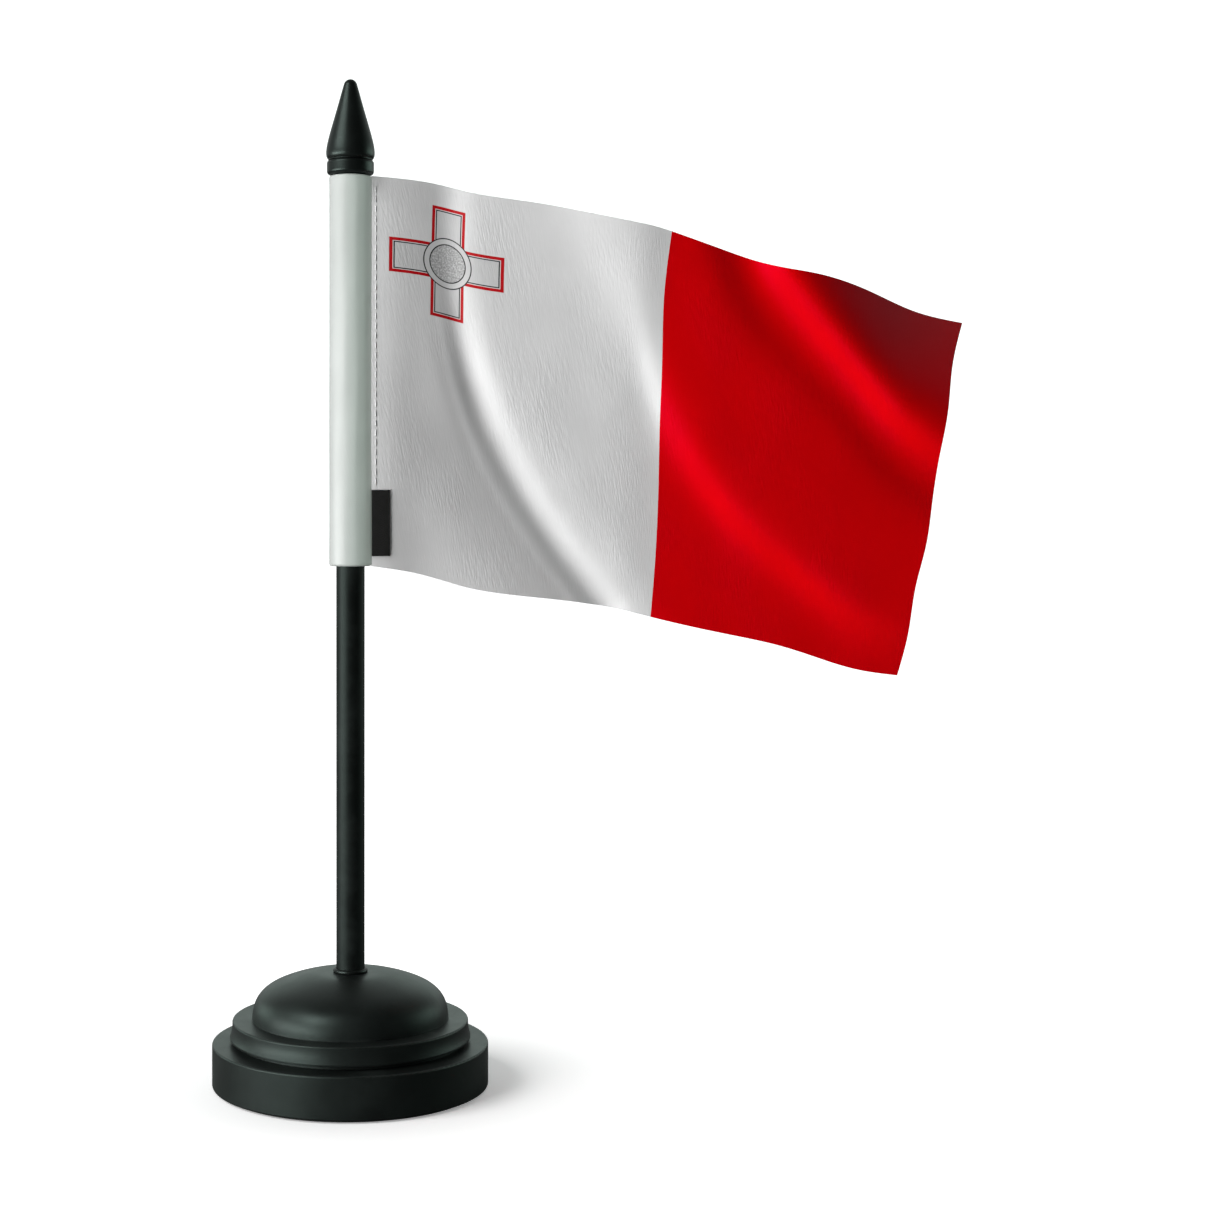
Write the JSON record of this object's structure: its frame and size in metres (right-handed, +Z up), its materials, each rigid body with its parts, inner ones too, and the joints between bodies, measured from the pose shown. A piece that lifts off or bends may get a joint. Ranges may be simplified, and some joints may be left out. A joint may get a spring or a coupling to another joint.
{
  "type": "desk flag stand",
  "caption": "Small cloth flag on a sliding sleeve, carried by a thin pole that plugs into a weighted round stepped base and is topped by a pointed finial.",
  "frame": {"origin": "centre of the pad's underside, on the pole's axis, where the stand rests on the table", "axes": "+Z up along the pole, +X from the pole along the flag's fly, +Y towards the flag's back"},
  "size_m": [0.1994, 0.0706, 0.258],
  "materials": {
    "satin_black_plastic": "satin moulded",
    "black_metal": "satin black paint",
    "pad_rubber": "matt",
    "plate_plastic": "matt moulded",
    "ballast_iron": "as cast",
    "zinc_steel": "zinc plated",
    "liner_plastic": "matt extruded",
    "pocket_cloth": "white polyester",
    "printed_cloth": "printed polyester, white half and red half",
    "label_cloth": "black woven tape",
    "white_thread": "polyester thread"
  },
  "bodies": {
    "base": {"anti_slip_pad": "pad_rubber", "bottom_plate": "plate_plastic", "plate_screws": "zinc_steel", "ballast_weight": "ballast_iron", "base_plinth": "satin_black_plastic", "base_riser": "satin_black_plastic", "base_dome": "satin_black_plastic", "pole_socket": "black_metal", "socket_washer": "zinc_steel", "socket_nut": "zinc_steel"},
    "pole": {"pole": "satin_black_plastic"},
    "finial": {"finial": "satin_black_plastic", "finial_collar": "satin_black_plastic"},
    "liner": {"sleeve_liner": "liner_plastic"},
    "flag": {"flag_sleeve": "pocket_cloth", "flag_cloth": "printed_cloth", "woven_label": "label_cloth", "seam_thread": "white_thread"}
  },
  "joints": [
    {"name": "pole_lift", "type": "slide", "parent": "base", "child": "pole", "axis": [0, 0, 1], "range_m": [0, 0.03]},
    {"name": "finial_pull", "type": "slide", "parent": "pole", "child": "finial", "axis": [0, 0, 1], "range_m": [0, 0.016]},
    {"name": "sleeve_slide", "type": "slide", "parent": "pole", "child": "liner", "axis": [0, 0, 1], "range_m": [-0.1, 0]},
    {"name": "flag_turn", "type": "hinge", "parent": "liner", "child": "flag", "pos_m": [0, 0, 0.183], "axis": [0, 0, 1], "continuous": true}
  ]
}
